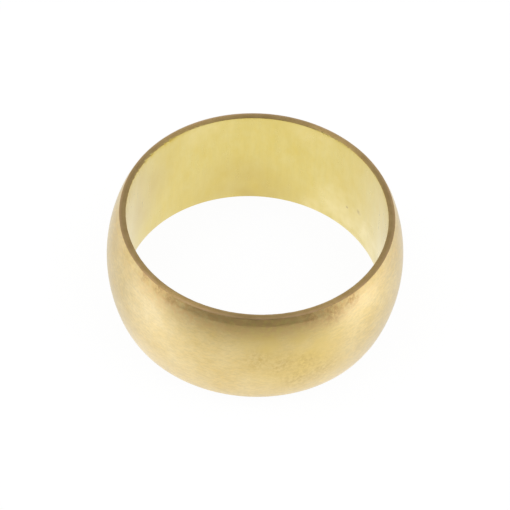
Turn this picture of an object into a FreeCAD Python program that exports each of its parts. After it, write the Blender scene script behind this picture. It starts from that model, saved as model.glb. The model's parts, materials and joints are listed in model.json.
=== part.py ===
import FreeCAD, Part
import math
import os

# Compression olive: the one-piece brass ring that is squeezed between the cone of a
# compression fitting and its nut, so that its thin ends close down onto the tube.
# It is turned as one piece: a plain bore, two flat parted-off ends, a narrow seat cone
# beside each end, and between the cones a barrel-shaped crown that is highest at the
# middle of the width.
# Millimetres. The bore runs along Z, and the lower end face stands on Z = 0.

# Driving dimensions
TUBE_DIAMETER = 22.0  # outside of the copper tube that passes through the olive
BORE_CLEARANCE = 0.2  # bore diameter minus tube diameter, so that the ring slips on by hand
RING_WIDTH = 10.2  # along the tube, from end face to end face
END_WALL = 0.56  # wall at both ends, from the bore to the corner where end face and seat cone meet
SEAT_WIDTH = 0.65  # along the tube, of the narrow cone beside each end face
SEAT_ANGLE = 23.0  # degrees between that cone and the bore axis, a little steeper than the crown there
CROWN_RISE = 0.73  # how far the middle of the crown stands out beyond the shoulders where the cones end
BORE_EDGE_BREAK = 0.1  # 45 degree chamfer at both mouths of the bore
RIM_EDGE_BREAK = 0.08  # depth along Z of the small flat that takes off each corner of end face and cone

# Sizes worked out from them
HALF_WIDTH = RING_WIDTH / 2
BORE_RADIUS = (TUBE_DIAMETER + BORE_CLEARANCE) / 2
RIM_RADIUS = BORE_RADIUS + END_WALL
SEAT_SLOPE = math.tan(math.radians(SEAT_ANGLE))
SHOULDER_RADIUS = RIM_RADIUS + SEAT_WIDTH * SEAT_SLOPE
CROWN_RADIUS = SHOULDER_RADIUS + CROWN_RISE

ORIGIN = FreeCAD.Vector(0, 0, 0)
BORE_AXIS = FreeCAD.Vector(0, 0, 1)
FULL_TURN = 360.0


def section_point(radius, height):
    """A point of the half section, which lies in the XZ plane."""
    return FreeCAD.Vector(radius, 0, height)


def other_end(point):
    """The same point of the section at the upper end, mirrored about the middle of the width."""
    return section_point(point.x, RING_WIDTH - point.z)


def end_outline():
    """The corners of the lower end, from the bore over the end face and the seat cone to the shoulder."""
    return [
        section_point(BORE_RADIUS, BORE_EDGE_BREAK),
        section_point(BORE_RADIUS + BORE_EDGE_BREAK, 0),
        section_point(RIM_RADIUS - RIM_EDGE_BREAK, 0),
        section_point(RIM_RADIUS + RIM_EDGE_BREAK * SEAT_SLOPE, RIM_EDGE_BREAK),
        section_point(SHOULDER_RADIUS, SEAT_WIDTH),
    ]


def lines_through(points):
    """Straight edges from each point to the next."""
    return [Part.LineSegment(start, end) for start, end in zip(points, points[1:])]


def half_section():
    """The ring's wall cut through on one side: lower end, crown arc, upper end and bore."""
    lower_end = end_outline()
    upper_end = [other_end(point) for point in reversed(lower_end)]
    crown_middle = section_point(CROWN_RADIUS, HALF_WIDTH)
    crown = Part.Arc(lower_end[-1], crown_middle, upper_end[0])
    bore = Part.LineSegment(upper_end[-1], lower_end[0])
    outline = [*lines_through(lower_end), crown, *lines_through(upper_end), bore]
    return Part.Face(Part.Wire([curve.toShape() for curve in outline]))


def olive():
    """The turned ring: the half section carried once round the bore axis."""
    return half_section().revolve(ORIGIN, BORE_AXIS, FULL_TURN)


def main():
    os.makedirs("parts", exist_ok=True)
    ring = olive()
    ring.exportStep("parts/olive.step")
    print(f"bore {2 * BORE_RADIUS:.2f}, crown {2 * CROWN_RADIUS:.2f}, width {RING_WIDTH:.2f} mm")
    print(f"rim {2 * RIM_RADIUS:.2f}, shoulder {2 * SHOULDER_RADIUS:.2f} mm across")
    print(f"volume {ring.Volume:.2f} mm3, solids {len(ring.Solids)}, faces {len(ring.Faces)}, valid {ring.isValid()}")


main()
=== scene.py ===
# %% [markdown]
# # A brass compression olive
# The olive is a single brass ring, turned on a lathe and slipped over a copper tube.
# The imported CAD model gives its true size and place. This lesson works out a finer surface
# over it, finishes that surface as three kinds of machined brass, and lights it like a
# small shiny product on a white table. Lengths on the ring are in millimetres, and lengths
# of the set round it in metres.

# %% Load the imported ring
import json
import math

import bpy
import numpy as np
from mathutils import Matrix, Vector


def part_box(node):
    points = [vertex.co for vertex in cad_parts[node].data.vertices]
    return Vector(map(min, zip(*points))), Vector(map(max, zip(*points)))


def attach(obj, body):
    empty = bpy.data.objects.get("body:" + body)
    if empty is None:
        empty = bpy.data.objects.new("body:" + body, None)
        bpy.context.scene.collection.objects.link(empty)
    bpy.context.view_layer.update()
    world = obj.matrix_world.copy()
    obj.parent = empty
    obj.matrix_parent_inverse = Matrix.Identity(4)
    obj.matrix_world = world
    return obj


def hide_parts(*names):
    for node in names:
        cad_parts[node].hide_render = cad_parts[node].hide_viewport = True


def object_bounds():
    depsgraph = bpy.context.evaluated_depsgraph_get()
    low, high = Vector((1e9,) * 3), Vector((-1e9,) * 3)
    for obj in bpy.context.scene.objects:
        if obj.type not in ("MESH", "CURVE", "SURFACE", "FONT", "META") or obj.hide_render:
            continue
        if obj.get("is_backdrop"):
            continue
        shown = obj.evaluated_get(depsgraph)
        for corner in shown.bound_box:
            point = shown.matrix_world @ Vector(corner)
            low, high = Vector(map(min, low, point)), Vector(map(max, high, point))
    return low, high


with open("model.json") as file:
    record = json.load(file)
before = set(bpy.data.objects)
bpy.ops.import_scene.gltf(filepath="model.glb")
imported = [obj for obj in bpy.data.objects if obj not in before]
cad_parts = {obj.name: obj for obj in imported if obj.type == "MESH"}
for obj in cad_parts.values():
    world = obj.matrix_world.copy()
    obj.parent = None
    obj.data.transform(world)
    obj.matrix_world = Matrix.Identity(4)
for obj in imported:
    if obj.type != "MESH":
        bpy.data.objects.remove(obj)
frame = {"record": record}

MM = 0.001
cad_low, cad_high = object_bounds()
node_low, node_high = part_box("olive")
ring_width = (node_high.z - node_low.z) / MM
crown_radius = (node_high.x - node_low.x) / 2 / MM
tube_bore = next(mount for mount in frame["record"]["mounts"] if mount["name"] == "tube_bore")
bore_radius = tube_bore["dims"]["r_mm"]
print(f"ring: bore {2 * bore_radius:.2f}, crown {2 * crown_radius:.2f}, width {ring_width:.2f} mm")

# %% [markdown]
# ## The section of the wall
# Every turned part is one outline carried round an axis, so the outline comes first. From the
# bore it runs over the end face, which is slightly convex, up a narrow seat cone and along the
# arc of the crown. It could be drawn as a curve object and spun, but worked out in numpy each
# corner keeps its own soft radius, and light only catches an edge that is really round.

# %% Corners rounded by arcs
END_WALL = 0.56
SEAT_WIDTH = 0.65
SEAT_ANGLE = 23.0
ROUND_STEPS = 7


def unit(vector):
    """The vector divided by its own length."""
    return vector / np.linalg.norm(vector)


def rounded_corner(before, corner, after, radius):
    """Points of the arc of that radius which touches both sides of a corner.

    The arc's centre lies on the bisector, radius / sin(half angle) from the corner, and the
    points turn evenly about it from one touching point to the other.
    """
    to_before = unit(before - corner)
    to_after = unit(after - corner)
    half_angle = math.acos(np.clip(to_before @ to_after, -1, 1)) / 2
    centre = corner + unit(to_before + to_after) * radius / math.sin(half_angle)
    first_spoke = corner + to_before * radius / math.tan(half_angle) - centre
    last_spoke = corner + to_after * radius / math.tan(half_angle) - centre
    sweep = math.pi - 2 * half_angle
    share = np.linspace(0, 1, ROUND_STEPS)[:, None]
    from_first = np.sin((1 - share) * sweep) * first_spoke
    from_last = np.sin(share * sweep) * last_spoke
    return centre + (from_first + from_last) / math.sin(sweep)


rim_radius = bore_radius + END_WALL
shoulder_radius = rim_radius + SEAT_WIDTH * math.tan(math.radians(SEAT_ANGLE))
inside_bore = np.array([bore_radius, SEAT_WIDTH])
rim_at_table = np.array([rim_radius, 0.0])
shoulder = np.array([shoulder_radius, SEAT_WIDTH])
print(f"rim {2 * rim_radius:.2f} and shoulder {2 * shoulder_radius:.2f} mm across")

# %% The end of the wall
MOUTH_ROUND = 0.06
RIM_ROUND = 0.08
FACE_LEAN = 15.0
END_STEPS = 6


def end_of_wall(lift):
    """Mouth arc, end face and rim arc of the lower end, with both corners lifted off the table.

    Beside each corner the face leans by the same angle. Between the arcs it is the parabola
    (1 - t)^2 A + 2 t (1 - t) P + t^2 B, where P is the point at which both leaning lines meet.
    """
    mouth_corner = np.array([bore_radius, lift])
    rim_corner = rim_at_table + (shoulder - rim_at_table) * lift / SEAT_WIDTH
    meeting = (mouth_corner + rim_corner) / 2
    meeting[1] -= math.tan(math.radians(FACE_LEAN)) * END_WALL / 2
    mouth_arc = rounded_corner(inside_bore, mouth_corner, meeting, MOUTH_ROUND)
    rim_arc = rounded_corner(meeting, rim_corner, shoulder, RIM_ROUND)
    t = np.linspace(0, 1, END_STEPS + 2)[1:-1, None]
    face = (1 - t) ** 2 * mouth_arc[-1] + 2 * t * (1 - t) * meeting + t**2 * rim_arc[0]
    return mouth_arc, face, rim_arc


# The face of an unlifted end dips below the table, and the lift brings its lowest point back.
face_depth = -end_of_wall(0.0)[1][:, 1].min()
mouth_arc, end_face, rim_arc = end_of_wall(face_depth)
print(f"end face convex by {face_depth:.3f} mm")

# %% The whole outline, counter-clockwise in radius and height
SEAT_STEPS = 6
CROWN_STEPS = 58
BORE_STEPS = 20
# Points stand this close on both sides of a shoulder, so that its faint line stays narrow.
CREASE = 0.1


def between(start, end, steps):
    """Points strictly between two points, evenly spaced on the straight line."""
    share = np.linspace(0, 1, steps + 2)[1:-1, None]
    return start + (end - start) * share


def crown_arc(steps):
    """The arc through both shoulders and the crown's middle, from the lower shoulder to the upper.

    Its radius is (half chord squared + rise squared) / (2 x rise), and the angle about its
    centre runs evenly from one shoulder to the other, apart from the points beside them.
    """
    half_chord = ring_width / 2 - SEAT_WIDTH
    rise = crown_radius - shoulder_radius
    arc_radius = (half_chord**2 + rise**2) / (2 * rise)
    reach = math.asin(half_chord / arc_radius)
    lead = CREASE / arc_radius
    even = np.linspace(-reach, reach, steps)[2:-2]
    angle = np.concatenate([[-reach, -reach + lead], even, [reach - lead, reach]])
    radius = crown_radius - arc_radius + arc_radius * np.cos(angle)
    return np.stack([radius, ring_width / 2 + arc_radius * np.sin(angle)], axis=1)


def upper_end(points):
    """The same points at the other end: mirrored about the middle of the width, in reverse order."""
    return np.stack([points[:, 0], ring_width - points[:, 1]], axis=1)[::-1]


seat_end = shoulder + unit(rim_at_table - shoulder) * CREASE
seat = np.concatenate([between(rim_arc[-1], seat_end, SEAT_STEPS), [seat_end]])
lower = np.concatenate([mouth_arc, end_face, rim_arc])
upper = upper_end(lower)
crown = crown_arc(CROWN_STEPS)
bore = between(upper[-1], lower[0], BORE_STEPS)
outline = np.concatenate([lower, seat, crown, upper_end(seat), upper, bore])
print(f"outline of {len(outline)} points")

# %% [markdown]
# ## The ring
# A real olive is parted off from a tube, so the bore's mouth is left slightly chipped and the
# cut face is never quite flat. Both are functions of the angle round the ring. The chips are a
# saw-tooth with unevenly spaced teeth, deepest on two sides of the upper mouth, where the
# cutter broke through. The uneven spacing and the shallow wave of the face are sums of waves
# that close on themselves, so no seam can show.

# %% Waves that close round the ring
SEED = 22
TURN_STEPS = 720
SMALLEST_WAVE = 0.4

rng = np.random.default_rng(SEED)
turn = np.linspace(0, 2 * math.pi, TURN_STEPS, endpoint=False)


def closed_waves(lowest, highest):
    """A sum of cosines, each with a whole number of waves round the ring, at most one in size."""
    count = np.arange(lowest, highest + 1)
    phase = rng.uniform(0, 2 * math.pi, len(count))
    size = rng.uniform(SMALLEST_WAVE, 1.0, len(count)) / np.sqrt(count)
    wave = (size[:, None] * np.cos(count[:, None] * turn + phase[:, None])).sum(axis=0)
    return wave / np.abs(wave).max()


# %% Chips of the mouth and the wave of the face
CHIP_DEPTH = 0.08
CHIP_FLOOR = 0.12
# Each chipped side by its angle from +X, its spread in degrees and its share of the depth.
CHIPPED_SIDES = [(142, 24, 1.0), (57, 12, 0.8)]
TEETH = 54
TOOTH_WOBBLE = 1.2
WOBBLE_WAVES = (12, 50)
FACE_WAVE = 0.006
FACE_WAVES = (2, 9)

chip_share = np.full(TURN_STEPS, CHIP_FLOOR)
for middle, spread, most in CHIPPED_SIDES:
    off_middle = (turn - math.radians(middle) + math.pi) % (2 * math.pi) - math.pi
    chip_share = np.maximum(chip_share, most * np.exp(-((off_middle / math.radians(spread)) ** 2)))
tooth = (TEETH * turn / (2 * math.pi) + TOOTH_WOBBLE * closed_waves(*WOBBLE_WAVES)) % 1
chips = CHIP_DEPTH * chip_share * tooth
face_wave = FACE_WAVE * (closed_waves(*FACE_WAVES) - 1) / 2
print(f"chips up to {chips.max():.3f} mm deep, face wave of {np.ptp(face_wave):.4f} mm")

# %% The surface as radius and height on a grid
CHIP_REACH = 0.15
CHIP_DROP = 0.5

radius_line = outline[:, 0]
height_line = outline[:, 1]
from_mouth_squared = (radius_line - bore_radius) ** 2 + (height_line - ring_width) ** 2
at_upper_mouth = np.exp(-(from_mouth_squared / CHIP_REACH**2))
on_upper_face = np.clip((height_line - ring_width + RIM_ROUND) / RIM_ROUND, 0, 1)


def ring_surface():
    """Points of the ring on a grid of turn and outline, in metres.

    Radius is the outline's radius and height the outline's height plus the face's shallow wave
    near the top. Near the upper mouth the chips go outwards into the metal and a share of that
    down. Both are then carried round the bore axis.
    """
    chipped = np.outer(chips, at_upper_mouth)
    radius = radius_line + chipped
    height = height_line + np.outer(face_wave, on_upper_face) - CHIP_DROP * chipped
    place = [radius * np.cos(turn)[:, None], radius * np.sin(turn)[:, None], height]
    return np.stack(place, axis=2) * MM


def closed_grid_faces(rows, columns):
    """Quads of a grid that closes both ways, each turned so that it faces out of the metal.

    Each joins its point with the next row, the next row and column, and the next column, and
    after the last row or column comes the first one again.
    """
    row, column = np.meshgrid(np.arange(rows), np.arange(columns), indexing="ij")
    next_row = (row + 1) % rows
    next_column = (column + 1) % columns
    corners = [row * columns + column, next_row * columns + column]
    corners += [next_row * columns + next_column, row * columns + next_column]
    return np.stack(corners, axis=2).reshape(-1, 4)


# %% The ring as an object
def new_object(name, points, faces):
    """An object at the origin, in the scene, whose mesh has those points and faces."""
    mesh = bpy.data.meshes.new(name)
    mesh.from_pydata(points, [], faces)
    mesh.update()
    made = bpy.data.objects.new(name, mesh)
    bpy.context.scene.collection.objects.link(made)
    return made


points = ring_surface().reshape(-1, 3)
faces = closed_grid_faces(TURN_STEPS, len(outline))
ring = new_object("olive_ring", points, faces)
ring.data.polygons.foreach_set("use_smooth", np.ones(len(faces), dtype=bool))
ring.data.update()
print(f"ring surface of {len(points)} points and {2 * len(faces)} triangles")

# %% [markdown]
# ## Shared effects
# All three finishes are the same alloy, and three effects repeat: the faint patches of colour
# that brass takes from handling, stains that show through a grain, and the fine lines that a
# tool leaves. Each is a node group, built once, and every finish places it with its own
# colours, direction and strength. The stain group also lays painted shade into the bore.

# %% Helpers for node trees
COLOUR = "NodeSocketColor"
NUMBER = "NodeSocketFloat"
VECTOR = "NodeSocketVector"


def node_in(tree, kind, **settings):
    """A new node with its settings."""
    node = tree.nodes.new(kind)
    for name, value in settings.items():
        setattr(node, name, value)
    return node


def set_inputs(node, **values):
    """Sets unlinked sockets by name, with spaces written as underscores."""
    for name, value in values.items():
        node.inputs[name.replace("_", " ")].default_value = value
    return node


def feed(tree, value, socket):
    """Gives a socket a plain number, or links it to another node's output."""
    if isinstance(value, (int, float)):
        socket.default_value = value
    else:
        tree.links.new(value, socket)


def new_group(name, inputs, outputs):
    """An empty shader node group with named sockets, and its input and output nodes."""
    group = bpy.data.node_groups.new(name, "ShaderNodeTree")
    for socket, kind in inputs.items():
        group.interface.new_socket(socket, in_out="INPUT", socket_type=kind)
    for socket, kind in outputs.items():
        group.interface.new_socket(socket, in_out="OUTPUT", socket_type=kind)
    return group, group.nodes.new("NodeGroupInput"), group.nodes.new("NodeGroupOutput")


# %% Helpers for worked-out values
def worked_out(tree, operation, *values):
    """A math node's result, from sockets or plain numbers."""
    node = node_in(tree, "ShaderNodeMath", operation=operation)
    for socket, value in zip(node.inputs, values):
        feed(tree, value, socket)
    return node.outputs["Value"]


def mapped(tree, value, limits, first, last, way="LINEAR"):
    """A value that goes from first to last while another goes from one limit to the other."""
    node = node_in(tree, "ShaderNodeMapRange", interpolation_type=way)
    set_inputs(node, From_Min=limits[0], From_Max=limits[1])
    feed(tree, value, node.inputs["Value"])
    feed(tree, first, node.inputs["To Min"])
    feed(tree, last, node.inputs["To Max"])
    return node.outputs["Result"]


def eased(tree, value, limits, first, last):
    """The same with a soft start and a soft end."""
    return mapped(tree, value, limits, first, last, way="SMOOTHSTEP")


def bell(tree, value, middle, width):
    """One where the value is at the middle, and exp(-(distance / width) squared) beside it."""
    share = worked_out(tree, "DIVIDE", worked_out(tree, "SUBTRACT", value, middle), width)
    square = worked_out(tree, "MULTIPLY", share, share)
    return worked_out(tree, "EXPONENT", worked_out(tree, "MULTIPLY", square, -1.0))


# %% Helpers for noise and colour
# A Mix node's sockets for colours have no names of their own, only these places.
MIX_FIRST = 6
MIX_SECOND = 7
MIX_RESULT = 2


def noise_at(tree, place, scale, detail, roughness):
    """A noise's value at a place."""
    node = set_inputs(node_in(tree, "ShaderNodeTexNoise"), Detail=detail, Roughness=roughness)
    feed(tree, place, node.inputs["Vector"])
    feed(tree, scale, node.inputs["Scale"])
    return node.outputs["Fac"]


def mixed_colours(tree, share, first, second, way="MIX"):
    """The first colour, giving way to the second, or to both multiplied, as the share goes to one."""
    node = node_in(tree, "ShaderNodeMix", data_type="RGBA", blend_type=way)
    tree.links.new(share, node.inputs["Factor"])
    tree.links.new(first, node.inputs[MIX_FIRST])
    tree.links.new(second, node.inputs[MIX_SECOND])
    return node.outputs[MIX_RESULT]


# %% Patches of alloy colour
PATCH_DETAIL = 6.0
PATCH_ROUGHNESS = 0.72
PATCH_LIMITS = (0.32, 0.68)
GROOVE_LIMITS = (0.3, 0.7)


def make_alloy_patches():
    """Blends two brass tones by a noise, and darkens the result in the grooves by the share given."""
    inputs = {"Place": VECTOR, "Tone": COLOUR, "Deep tone": COLOUR}
    inputs |= {"Height": NUMBER, "Groove shade": NUMBER}
    group, given, made = new_group("alloy_patches", inputs, {"Color": COLOUR})
    noise = noise_at(group, given.outputs["Place"], 1.0, PATCH_DETAIL, PATCH_ROUGHNESS)
    share = mapped(group, noise, PATCH_LIMITS, 0.0, 1.0)
    tones = mixed_colours(group, share, given.outputs["Tone"], given.outputs["Deep tone"])
    grooves = eased(group, given.outputs["Height"], GROOVE_LIMITS, 0.0, 1.0)
    shaded = mixed_colours(group, given.outputs["Groove shade"], tones, grooves, way="MULTIPLY")
    group.links.new(shaded, made.inputs["Color"])
    return group


alloy_patches = make_alloy_patches()

# %% Stains
GRAIN_DETAIL = 3.0
GRAIN_ROUGHNESS = 0.7
GRAIN_LIMITS = (0.3, 0.7)


def make_stain():
    """Lets a stain, or painted shade, show over a colour, where a mask says, through a grain of the
    scale given.
    """
    inputs = {"Color": COLOUR, "Stain": COLOUR, "Where": NUMBER}
    inputs |= {"Place": VECTOR, "Grain scale": NUMBER}
    group, given, made = new_group("stain", inputs, {"Color": COLOUR})
    place = given.outputs["Place"]
    grain = noise_at(group, place, given.outputs["Grain scale"], GRAIN_DETAIL, GRAIN_ROUGHNESS)
    open_grain = eased(group, grain, GRAIN_LIMITS, 0.0, 1.0)
    share = worked_out(group, "MULTIPLY", given.outputs["Where"], open_grain)
    stained = mixed_colours(group, share, given.outputs["Color"], given.outputs["Stain"])
    group.links.new(stained, made.inputs["Color"])
    return group


stain_over = make_stain()

# %% Lines that a tool leaves
LINE_DETAIL = 5.0
LINE_ROUGHNESS = 0.7
LINE_LIMITS = (0.3, 0.7)


def make_tool_lines():
    """Fine and coarse lines from noise stretched along the cut: a height and a roughness."""
    inputs = {"Along cut": VECTOR, "Smooth": NUMBER, "Rough": NUMBER}
    group, given, made = new_group("tool_lines", inputs, {"Height": NUMBER, "Roughness": NUMBER})
    height = noise_at(group, given.outputs["Along cut"], 1.0, LINE_DETAIL, LINE_ROUGHNESS)
    roughness = mapped(group, height, LINE_LIMITS, given.outputs["Smooth"], given.outputs["Rough"])
    group.links.new(height, made.inputs["Height"])
    group.links.new(roughness, made.inputs["Roughness"])
    return group


tool_lines = make_tool_lines()
print("node groups:", alloy_patches.name, stain_over.name, tool_lines.name)

# %% [markdown]
# ## The three finishes
# The crown was turned, so its lines run round the ring, and light smears across them, up and
# down the crown. The bore is the drawn inside of the tube it was cut from, so its lines run
# along the axis. The end faces were parted off and carry rings. A thin film of cutting oil
# lies over all of it. One function builds all three, because only the direction of the cut,
# the tones and the strengths differ.

# %% Places stretched along a cut
def stretched(tree, place, scale):
    """A place times a scale along each axis."""
    node = node_in(tree, "ShaderNodeVectorMath", operation="MULTIPLY")
    node.inputs[1].default_value = scale
    tree.links.new(place, node.inputs[0])
    return node.outputs["Vector"]


def off_axis(tree, place):
    """The distance of a place from the bore axis."""
    length = node_in(tree, "ShaderNodeVectorMath", operation="LENGTH")
    tree.links.new(stretched(tree, place, (1.0, 1.0, 0.0)), length.inputs[0])
    return length.outputs["Value"]


def around_axis(tree, place, across, along):
    """A vector of the distance from the axis, times across, and of x and y, times along."""
    split = node_in(tree, "ShaderNodeSeparateXYZ")
    join = node_in(tree, "ShaderNodeCombineXYZ")
    tree.links.new(stretched(tree, place, (along, along, along)), split.inputs["Vector"])
    tree.links.new(worked_out(tree, "MULTIPLY", off_axis(tree, place), across), join.inputs["X"])
    tree.links.new(split.outputs["X"], join.inputs["Y"])
    tree.links.new(split.outputs["Y"], join.inputs["Z"])
    return join.outputs["Vector"]


# %% A brass finish
PER_MM = 1000.0
OIL_FILM = 0.9
OIL_ROUGHNESS = 0.3
OIL_IOR = 1.55


def place_in_mm(tree):
    """The object's own coordinates in millimetres."""
    coordinates = node_in(tree, "ShaderNodeTexCoord")
    return stretched(tree, coordinates.outputs["Object"], (PER_MM, PER_MM, PER_MM))


def brass_finish(
    name, cut, tone, deep_tone, patch_scale, shade, rough, line_depth, anisotropy, turn_of_shine
):
    """A brass material: patches of colour, lines along the cut, and a shine smeared across them."""
    material = bpy.data.materials.new(name)
    material.use_nodes = True
    tree = material.node_tree
    link = tree.links.new
    shader = tree.nodes["Principled BSDF"]
    set_inputs(shader, Metallic=1.0, Anisotropic=anisotropy, Anisotropic_Rotation=turn_of_shine)
    set_inputs(shader, Coat_Weight=OIL_FILM, Coat_Roughness=OIL_ROUGHNESS, Coat_IOR=OIL_IOR)
    place = place_in_mm(tree)
    patches = node_in(tree, "ShaderNodeGroup", node_tree=alloy_patches)
    set_inputs(patches, Tone=(*tone, 1.0), Deep_tone=(*deep_tone, 1.0), Groove_shade=shade)
    lines = node_in(tree, "ShaderNodeGroup", node_tree=tool_lines)
    set_inputs(lines, Smooth=rough[0], Rough=rough[1])
    bump = set_inputs(node_in(tree, "ShaderNodeBump"), Strength=1.0, Distance=line_depth * MM)
    link(stretched(tree, place, patch_scale), patches.inputs["Place"])
    link(cut(tree, place), lines.inputs["Along cut"])
    link(lines.outputs["Height"], patches.inputs["Height"])
    link(patches.outputs["Color"], shader.inputs["Base Color"])
    link(lines.outputs["Roughness"], shader.inputs["Roughness"])
    link(lines.outputs["Height"], bump.inputs["Height"])
    link(bump.outputs["Normal"], shader.inputs["Normal"])
    return material


# %% Crown, ends and bore
ACROSS_TURNED = 4.6
ALONG_TURNED = 2.0
ACROSS_DRAWN = 2.6
ALONG_DRAWN = 0.3
ACROSS_PARTED = 9.0
ALONG_PARTED = 0.15
QUARTER_TURN = 0.25


def round_the_crown(tree, place):
    """Noise that changes fast along the axis and slowly round the ring."""
    return stretched(tree, place, (ALONG_TURNED, ALONG_TURNED, ACROSS_TURNED))


def along_the_bore(tree, place):
    """Noise that changes fast round the ring and slowly along the axis."""
    return stretched(tree, place, (ACROSS_DRAWN, ACROSS_DRAWN, ALONG_DRAWN))


def rings_on_the_end(tree, place):
    """Noise that changes fast outwards and slowly round the ring."""
    return around_axis(tree, place, ACROSS_PARTED, ALONG_PARTED)


turned_crown = brass_finish(
    "turned_crown", round_the_crown, tone=(0.96, 0.755, 0.335), deep_tone=(0.87, 0.64, 0.21),
    patch_scale=(0.35, 0.35, 0.4), shade=0.2, rough=(0.32, 0.46), line_depth=0.0025,
    anisotropy=0.55, turn_of_shine=QUARTER_TURN,
)
parted_end = brass_finish(
    "parted_end", rings_on_the_end, tone=(0.62, 0.43, 0.16), deep_tone=(0.50, 0.32, 0.10),
    patch_scale=(0.8, 0.8, 0.8), shade=0.15, rough=(0.4, 0.55), line_depth=0.003,
    anisotropy=0.75, turn_of_shine=QUARTER_TURN,
)
drawn_bore = brass_finish(
    "drawn_bore", along_the_bore, tone=(0.82, 0.68, 0.22), deep_tone=(0.78, 0.61, 0.13),
    patch_scale=(0.45, 0.45, 0.3), shade=0.06, rough=(0.26, 0.36), line_depth=0.001,
    anisotropy=0.4, turn_of_shine=0.0,
)
print("finishes:", turned_crown.name, parted_end.name, drawn_bore.name)

# %% [markdown]
# ## Marks of use
# A ring that has lain loose in a box is not evenly clean. Its crown is tarnished beside the
# upper rim, with small reddish stains there, and yellower and speckled right of its middle.
# The rim's outer edge is reddish. The bore is rubbed pale in some places and has two dark specks.
# Each mark is a soft spot on the ring, and it shows through a grain, so that its edge breaks up
# as a real one does. The bore also gets painted shade, laid the same way: it is darker towards
# its foot at the back, and in one place higher up at the back on the left.

# %% Where the marks are and how they look
RIM_TARNISH = (0.82, 0.55, 0.20)
RIM_STAIN = (0.52, 0.30, 0.09)
DEEP_STAIN = (0.63, 0.44, 0.10)
YELLOW_TINT = (0.86, 0.64, 0.18)
RIM_EDGE_RED = (0.64, 0.42, 0.20)
SPECK = (0.26, 0.16, 0.06)
PALE_RUB = (0.99, 0.84, 0.40)
# Painted shade for the bore: a darker tone laid where less light reaches.
PAINTED_BORE_SHADE = (0.61, 0.45, 0.11)
RIM_EDGE = 0.3
TARNISH_FOOT = 7.6
TARNISH_SIDE = (-10.5, -6.0)
TARNISH_FLOOR = 0.25
# Each spot by its azimuth from the camera's side towards +X in degrees, its height and its reach.
LEFT_RIM_SPOTS = [(-35, 9.8, 1.2), (-42, 10.0, 1.0), (-50, 10.0, 1.1)]
RIGHT_RIM_SPOTS = [(25, 9.7, 1.2), (34, 9.4, 1.8), (44, 9.8, 1.4)]
DEEP_SPOTS = [(4, 5.9, 2.2), (13, 5.2, 2.8), (22, 4.9, 2.6), (20, 3.0, 3.2), (29, 3.4, 3.0)]
YELLOW_SPOTS = [(8, 8.0, 4.5), (18, 6.5, 6.0), (23, 4.5, 5.0)]
BORE_SPECKS = [(127.6, 3.57, 0.4), (135.6, 2.87, 0.2)]
BORE_RUBS = [(114, 1.4, 5.0), (124, 1.4, 5.0), (134, 1.2, 4.6), (143, 0.8, 4.2), (152, 0.3, 2.6)]
FAINT_RUBS = [(140, 4.2, 3.2), (155, 9.6, 3.0), (206, 9.6, 3.2)]
# Painted shade in the bore: darkest at its foot behind the middle, and one darker place higher up at the
# back on the left.
PAINTED_SHADE_SPOTS = [(190, -1.5, 8.5), (246, 6.2, 5.5)]

# %% Masks
def marks_on(radius, marks):
    """A mask for marks on that radius, each given by azimuth, height and reach."""

    def mask(tree, place):
        """One at the nearest mark, easing to zero at its reach."""
        where = 0.0
        for azimuth, height, reach in marks:
            a = math.radians(azimuth)
            away = node_in(tree, "ShaderNodeVectorMath", operation="DISTANCE")
            away.inputs[1].default_value = (radius * math.sin(a), -radius * math.cos(a), height)
            tree.links.new(place, away.inputs[0])
            near = eased(tree, away.outputs["Value"], (0.0, reach), 1.0, 0.0)
            where = worked_out(tree, "MAXIMUM", near, where)
        return where

    return mask


def beside_the_rim(tree, place):
    """A mask of one at the upper rim in front, easing to zero down the crown and fading to the sides."""
    split = node_in(tree, "ShaderNodeSeparateXYZ")
    tree.links.new(place, split.inputs["Vector"])
    height_share = eased(tree, split.outputs["Z"], (TARNISH_FOOT, ring_width), 0.0, 1.0)
    front_share = eased(tree, split.outputs["Y"], TARNISH_SIDE, 1.0, TARNISH_FLOOR)
    return worked_out(tree, "MULTIPLY", height_share, front_share)


def at_the_edge(tree, place):
    """A mask of one at the rim's outer edge, easing to zero inwards on the end face."""
    return eased(tree, off_axis(tree, place), (rim_radius - RIM_EDGE, rim_radius), 0.0, 1.0)


# %% Stains on the finishes
def add_stain_or_painted_shade(material, mask, stain, strength, grain_scale):
    """Puts a stain, or painted shade, between a finish's colour and its shader, where the mask says."""
    tree = material.node_tree
    colour = tree.nodes["Principled BSDF"].inputs["Base Color"]
    place = place_in_mm(tree)
    over = node_in(tree, "ShaderNodeGroup", node_tree=stain_over)
    set_inputs(over, Grain_scale=grain_scale, Stain=(*stain, 1.0))
    where = worked_out(tree, "MULTIPLY", mask(tree, place), strength)
    tree.links.new(colour.links[0].from_socket, over.inputs["Color"])
    tree.links.new(where, over.inputs["Where"])
    tree.links.new(place, over.inputs["Place"])
    tree.links.new(over.outputs["Color"], colour)


yellow = marks_on(crown_radius, YELLOW_SPOTS)
rim_stains = marks_on(rim_radius, LEFT_RIM_SPOTS + RIGHT_RIM_SPOTS)
speckled = marks_on(crown_radius, DEEP_SPOTS)
add_stain_or_painted_shade(turned_crown, yellow, YELLOW_TINT, strength=1.3, grain_scale=0.15)
add_stain_or_painted_shade(turned_crown, beside_the_rim, RIM_TARNISH, strength=1.5, grain_scale=2.5)
add_stain_or_painted_shade(turned_crown, rim_stains, RIM_STAIN, strength=0.9, grain_scale=3.6)
add_stain_or_painted_shade(turned_crown, speckled, DEEP_STAIN, strength=0.85, grain_scale=2.8)
add_stain_or_painted_shade(parted_end, at_the_edge, RIM_EDGE_RED, strength=1.2, grain_scale=0.6)

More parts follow.
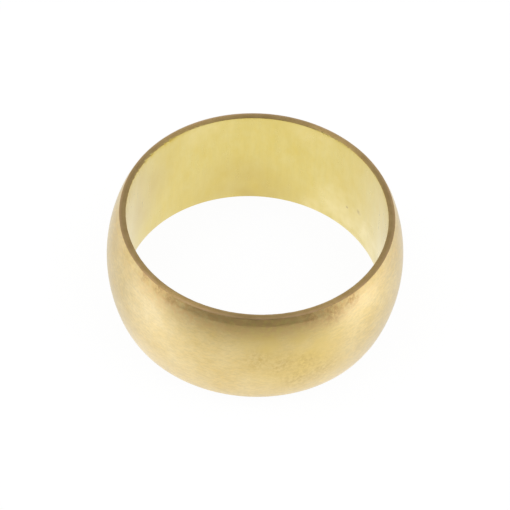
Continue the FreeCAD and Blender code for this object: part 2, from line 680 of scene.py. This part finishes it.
rubbed = marks_on(bore_radius, BORE_RUBS)
faintly_rubbed = marks_on(bore_radius, FAINT_RUBS)
shaded = marks_on(bore_radius, PAINTED_SHADE_SPOTS)
specks = marks_on(bore_radius, BORE_SPECKS)
add_stain_or_painted_shade(drawn_bore, rubbed, PALE_RUB, strength=1.0, grain_scale=0.2)
add_stain_or_painted_shade(drawn_bore, faintly_rubbed, PALE_RUB, strength=0.5, grain_scale=0.2)
# Painted shade: the bore is darkened towards its foot at the back, and in one place on the left.
add_stain_or_painted_shade(drawn_bore, shaded, PAINTED_BORE_SHADE, strength=1.3, grain_scale=0.08)
add_stain_or_painted_shade(drawn_bore, specks, SPECK, strength=0.85, grain_scale=0.5)
crown_marks = YELLOW_SPOTS + LEFT_RIM_SPOTS + RIGHT_RIM_SPOTS + DEEP_SPOTS
# The bore's list takes in the painted shade spots.
bore_marks_and_painted_shade = BORE_RUBS + FAINT_RUBS + PAINTED_SHADE_SPOTS + BORE_SPECKS
print(f"marks: {len(crown_marks)} on the crown, {len(bore_marks_and_painted_shade)} in the bore")

# %% [markdown]
# ## Which finish goes where
# Each column of faces is one step of the outline, so a finish is a run of columns. The parted
# finish of an end face stops half way round the soft edges on both its sides. At the upper
# mouth a chip has laid bare fresh metal as bright as the bore, so there the bore's finish
# reaches further over the edge, by as much as the chip is deep.

# %% Each stretch of the outline gets its finish
CROWN_SLOT, END_SLOT, BORE_SLOT = range(3)
EDGE_HALF = ROUND_STEPS // 2
FRESH_STEPS = 5
CHIPPED_COLUMNS = EDGE_HALF + FRESH_STEPS

for finish in (turned_crown, parted_end, drawn_bore):
    ring.data.materials.append(finish)
parted_count = len(lower) - 1 - 2 * EDGE_HALF
turned_count = EDGE_HALF + 1 + len(seat) + len(crown) + len(seat) + EDGE_HALF
finish_of_column = np.concatenate([
    np.full(EDGE_HALF, BORE_SLOT),
    np.full(parted_count, END_SLOT),
    np.full(turned_count, CROWN_SLOT),
    np.full(parted_count, END_SLOT),
    np.full(EDGE_HALF + 1 + len(bore), BORE_SLOT),
])
finish_grid = np.tile(finish_of_column, (TURN_STEPS, 1))
mouth_end = len(outline) - len(bore) - 1
upper_mouth = finish_grid[:, mouth_end - CHIPPED_COLUMNS:mouth_end]
steps_from_bore = np.arange(CHIPPED_COLUMNS)[::-1] + 0.5
laid_bare = EDGE_HALF + chips[:, None] / CHIP_DEPTH * FRESH_STEPS
upper_mouth[laid_bare > steps_from_bore] = BORE_SLOT
finish_of_face = finish_grid.ravel().astype(np.int32)
ring.data.polygons.foreach_set("material_index", finish_of_face)
print("faces by finish:", np.bincount(finish_of_face).tolist())

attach(ring, "root")
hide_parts("olive")

# %% [markdown]
# ## Table and background
# The table is plain white. It shows itself to the camera and to the metal as white of
# strength one, mixed with a share of its real shading, so that the ring keeps its soft
# shadow and the brass mirrors the same white that the picture shows.

# %% What is seen and what lights
WHITE = (1.0, 1.0, 1.0, 1.0)


def seen_share(tree):
    """One for rays from the camera, from glossy metal or through glass, and zero for the rest."""
    path = node_in(tree, "ShaderNodeLightPath")
    seen = path.outputs["Is Camera Ray"]
    for ray in ("Is Glossy Ray", "Is Transmission Ray"):
        seen = worked_out(tree, "MAXIMUM", seen, path.outputs[ray])
    return seen


def mixed_shaders(tree, share, first, second):
    """The first shader, giving way to the second as the share goes to one."""
    mix = node_in(tree, "ShaderNodeMixShader")
    tree.links.new(share, mix.inputs["Fac"])
    tree.links.new(first, mix.inputs[1])
    tree.links.new(second, mix.inputs[2])
    return mix.outputs["Shader"]


# %% White table
FLOOR_SIZE = 3.0
FLOOR_GAP = 0.00002
FLOOR_COLOUR = (0.92, 0.92, 0.92, 1.0)
FLOOR_ROUGHNESS = 0.9
SHADOW_SHARE = 0.05


def white_table():
    """A matt white that turns into plain white light, less a share of its shading, where it is seen."""
    material = bpy.data.materials.new("white_table")
    material.use_nodes = True
    tree = material.node_tree
    matt = set_inputs(tree.nodes["Principled BSDF"], Base_Color=FLOOR_COLOUR)
    set_inputs(matt, Roughness=FLOOR_ROUGHNESS, Specular_IOR_Level=0.0)
    glow = set_inputs(node_in(tree, "ShaderNodeEmission"), Color=WHITE, Strength=1.0)
    share = worked_out(tree, "MULTIPLY", seen_share(tree), 1.0 - SHADOW_SHARE)
    table = mixed_shaders(tree, share, matt.outputs["BSDF"], glow.outputs["Emission"])
    tree.links.new(table, tree.nodes["Material Output"].inputs["Surface"])
    return material


corners = FLOOR_SIZE / 2 * np.array([[-1, -1], [1, -1], [1, 1], [-1, 1]])
floor_points = np.column_stack([corners, np.full(len(corners), -FLOOR_GAP)])
floor = new_object("table_top", floor_points, [(0, 1, 2, 3)])
floor.data.materials.append(white_table())
floor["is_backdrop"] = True
print(f"table of {FLOOR_SIZE} m, {FLOOR_GAP / MM} mm under the ring")

# %% White surroundings
WORLD_LIGHT = 0.8


def white_world():
    """White of strength one where it is seen, and a weaker fill for everything that it lights."""
    world = bpy.data.worlds.new("white_surround")
    world.use_nodes = True
    tree = world.node_tree
    fill = set_inputs(tree.nodes["Background"], Color=WHITE, Strength=WORLD_LIGHT)
    seen = set_inputs(node_in(tree, "ShaderNodeBackground"), Color=WHITE, Strength=1.0)
    fill_out = fill.outputs["Background"]
    both = mixed_shaders(tree, seen_share(tree), fill_out, seen.outputs["Background"])
    tree.links.new(both, tree.nodes["World Output"].inputs["Surface"])
    return world


bpy.context.scene.world = white_world()
print("surroundings fill with a strength of", WORLD_LIGHT)

# %% [markdown]
# ## Light
# Metal shows what stands round it. The ring is set in a small light tent: white along the
# table, grey overhead, and dark on the camera's side, where the room is not lit. The crown
# mirrors the table below its middle and fades to brown towards the upper edge, where it mirrors
# the dark front, and the end faces mirror the grey behind. Two lamps throw soft pools of light
# on the table beside the ring, which give the crown its bright glints left and right. The tent
# could be real cloth with lamps outside. One sheet that only glossy rays see gives the same
# reflections with no noise.

# %% The tent's surface
TENT_RADIUS = 0.3
SKIRT_START = 0.012
SKIRT_HEIGHT = 0.00005
SKIRT_STEPS = 12
DOME_STEPS = 24
TENT_TURN_STEPS = 96


def tent_surface():
    """Points on a grid of turn and profile: a flat skirt on the table, then a quarter circle up."""
    turn_round = np.linspace(0, 2 * math.pi, TENT_TURN_STEPS, endpoint=False)[:, None]
    rise = np.linspace(0, math.pi / 2, DOME_STEPS)
    skirt = np.linspace(SKIRT_START, TENT_RADIUS, SKIRT_STEPS, endpoint=False)
    radius = np.concatenate([skirt, TENT_RADIUS * np.cos(rise)])
    height = SKIRT_HEIGHT + np.concatenate([np.zeros(SKIRT_STEPS), TENT_RADIUS * np.sin(rise)])
    x = radius * np.cos(turn_round)
    y = radius * np.sin(turn_round)
    return np.stack([x, y, np.broadcast_to(height, x.shape)], axis=2)


# %% Glows and pools of light
# Azimuths count from the camera's side towards +X, in degrees, and distances from the ring's
# middle. The lean turns a pool's middle by so many degrees a millimetre of distance.
LEFT_POOL = {"azimuth": -60, "distance": 0.0255, "lean": -1.6,
             "across": 18, "along": 0.0074, "tone": 0.63}
RIGHT_POOL = {"azimuth": 71, "distance": 0.0315, "lean": 0.5,
              "across": 21, "along": 0.0092, "tone": 1.02}
LEFT_LAMP = (0.82, 1.0, 1.8, 1.0)
RIGHT_LAMP = (0.92, 1.0, 1.3, 1.0)


def pool_of_light(tree, azimuth_here, distance_here, azimuth, distance, lean, across, along, tone):
    """A lamp's pool on the table: two bells, one across in azimuth and one along in distance.

    The pool's middle changes its azimuth with the distance by the lean.
    """
    farther = worked_out(tree, "SUBTRACT", distance_here, distance)
    shift = worked_out(tree, "MULTIPLY", farther, math.radians(lean) / MM)
    upright = worked_out(tree, "SUBTRACT", azimuth_here, shift)
    across_bell = bell(tree, upright, math.radians(azimuth), math.radians(across))
    along_bell = bell(tree, distance_here, distance, along)
    return worked_out(tree, "MULTIPLY", worked_out(tree, "MULTIPLY", across_bell, along_bell), tone)


def glowing(tree, strength, colour, under=None):
    """Light of that strength and colour, added to the light under it."""
    glow = set_inputs(node_in(tree, "ShaderNodeEmission"), Color=colour)
    tree.links.new(strength, glow.inputs["Strength"])
    if under is None:
        return glow.outputs["Emission"]
    both = node_in(tree, "ShaderNodeAddShader")
    tree.links.new(under, both.inputs[0])
    tree.links.new(glow.outputs["Emission"], both.inputs[1])
    return both.outputs["Shader"]


# %% The tent's light
FRONT_TONE = 0.1
LEFT_TONE = 1.0
RIGHT_TONE = 0.40
BACK_TONE = 0.97
OVERHEAD_TONE = 0.45
FOOT_BEHIND_TONE = 0.79
FRONT_MIDDLE = math.radians(-5)
FRONT_END = (math.radians(37), math.radians(64))
BACK_START = (math.radians(53), math.radians(78))
OVERHEAD = (math.sin(math.radians(12)), math.sin(math.radians(40)))
FOOT_TO_TENT = (0.022, 0.060)


def tent_light():
    """White round the ring, two pools of lamp light beside it, and away from it the tent's own tones."""
    material = bpy.data.materials.new("tent_light")
    material.use_nodes = True
    tree = material.node_tree
    place = node_in(tree, "ShaderNodeTexCoord").outputs["Object"]
    split = node_in(tree, "ShaderNodeSeparateXYZ")
    length = node_in(tree, "ShaderNodeVectorMath", operation="LENGTH")
    tree.links.new(place, split.inputs["Vector"])
    tree.links.new(place, length.inputs[0])
    x, y, z = split.outputs
    distance = length.outputs["Value"]
    climb = worked_out(tree, "DIVIDE", z, distance)
    azimuth = worked_out(tree, "ARCTAN2", x, worked_out(tree, "MULTIPLY", y, -1.0))
    off_front = worked_out(tree, "ABSOLUTE", worked_out(tree, "SUBTRACT", azimuth, FRONT_MIDDLE))
    side = eased(tree, azimuth, (-FRONT_END[0], FRONT_END[0]), LEFT_TONE, RIGHT_TONE)
    round_about = eased(tree, off_front, BACK_START, side, BACK_TONE)
    round_about = eased(tree, climb, OVERHEAD, round_about, OVERHEAD_TONE)
    tent = eased(tree, off_front, FRONT_END, FRONT_TONE, round_about)
    foot = eased(tree, off_front, (FRONT_END[0], BACK_START[1]), 1.0, FOOT_BEHIND_TONE)
    light = glowing(tree, eased(tree, distance, FOOT_TO_TENT, foot, tent), WHITE)
    light = glowing(tree, pool_of_light(tree, azimuth, distance, **LEFT_POOL), LEFT_LAMP, light)
    light = glowing(tree, pool_of_light(tree, azimuth, distance, **RIGHT_POOL), RIGHT_LAMP, light)
    tree.links.new(light, tree.nodes["Material Output"].inputs["Surface"])
    return material


# %% The tent as a stage object
HIDDEN_FROM = ("camera", "diffuse", "transmission", "volume_scatter", "shadow")


def light_tent():
    """The tent as an object that only glossy rays see."""
    grid = tent_surface()
    rows, columns = grid.shape[:2]
    inside = np.tile(np.arange(columns) < columns - 1, rows)
    tent = new_object("light_tent", grid.reshape(-1, 3), closed_grid_faces(rows, columns)[inside])
    tent.data.materials.append(tent_light())
    for ray in HIDDEN_FROM:
        setattr(tent, f"visible_{ray}", False)
    return tent


tent = light_tent()
tent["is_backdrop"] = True
print(f"light tent of {len(tent.data.polygons)} faces, {2 * TENT_RADIUS} m across")

# %% Soft boxes
RING_CENTRE = Vector((0.0, 0.0, ring_width / 2 * MM))
BOX_DISTANCE = 0.5
BOX_WIDTH = 0.3
BOX_HEIGHT = 0.3
BOX_AZIMUTH = 75
BOX_ELEVATION = 58
BOX_POWER = 0.8


def around(azimuth, elevation, distance):
    """A point that far from the ring, with azimuth counted from the camera's side towards +X."""
    a = math.radians(azimuth)
    e = math.radians(elevation)
    away = Vector((math.sin(a) * math.cos(e), -math.cos(a) * math.cos(e), math.sin(e)))
    return RING_CENTRE + distance * away


def soft_box(name, azimuth):
    """A rectangular lamp that faces the ring and that the camera doesn't see."""
    lamp = bpy.data.lights.new(name, "AREA")
    lamp.shape = "RECTANGLE"
    lamp.size = BOX_WIDTH
    lamp.size_y = BOX_HEIGHT
    lamp.energy = BOX_POWER
    box = bpy.data.objects.new(name, lamp)
    box.location = around(azimuth, BOX_ELEVATION, BOX_DISTANCE)
    box.rotation_euler = (RING_CENTRE - box.location).to_track_quat("-Z", "Y").to_euler()
    box.visible_camera = False
    bpy.context.scene.collection.objects.link(box)
    return box


for box in (soft_box("left_box", -BOX_AZIMUTH), soft_box("right_box", BOX_AZIMUTH)):
    print(box.name, "at", [round(v, 3) for v in box.location], "m")

# %% [markdown]
# ## Camera
# The photograph was taken with a long lens, looking down at the ring by nearly fifty degrees
# and tilted a little, so that the ring's right side sits lower. The camera's axes are set
# directly as the columns of a matrix, because then the tilt is plain trigonometry.

# %% Camera at the photograph's angle
CAMERA_ELEVATION = 48.82
CAMERA_ROLL = 3.39
CAMERA_DISTANCE = 0.3298
CAMERA_LENS = 272.5
CAMERA_CLIP = (0.01, 10.0)
AIM_BELOW_CENTRE = 0.00014


def camera_at_photo_angle():
    """A camera whose right and up axes are turned by the roll about its line of sight."""
    elevation = math.radians(CAMERA_ELEVATION)
    roll = math.radians(CAMERA_ROLL)
    back = Vector((0.0, -math.cos(elevation), math.sin(elevation)))
    level_right = Vector((1.0, 0.0, 0.0))
    level_up = Vector((0.0, math.sin(elevation), math.cos(elevation)))
    right = math.cos(roll) * level_right + math.sin(roll) * level_up
    up = math.cos(roll) * level_up - math.sin(roll) * level_right
    data = bpy.data.cameras.new("photo_camera")
    data.lens = CAMERA_LENS
    data.clip_start, data.clip_end = CAMERA_CLIP
    camera = bpy.data.objects.new("photo_camera", data)
    camera.matrix_world = Matrix((right, up, back)).transposed().to_4x4()
    camera.location = RING_CENTRE - AIM_BELOW_CENTRE * up + CAMERA_DISTANCE * back
    bpy.context.scene.collection.objects.link(camera)
    return camera


camera = camera_at_photo_angle()
bpy.context.scene.camera = camera
bpy.context.scene.view_settings.view_transform = "Standard"
print("camera at", [round(v, 4) for v in camera.location], "m, lens", CAMERA_LENS, "mm")

# %% [markdown]
# ## Sizes
# The CAD model's box and the dressed ring's box are both printed. The dressed ring has to
# stay inside the CAD model's box.

# %% Sizes and finish
seen_low, seen_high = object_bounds()
cad_reach = [round(v / MM, 3) for v in cad_high]
dressed_reach = [round(v / MM, 3) for v in seen_high]
print("CAD box reaches to", cad_reach, "and the dressed box to", dressed_reach, "mm")
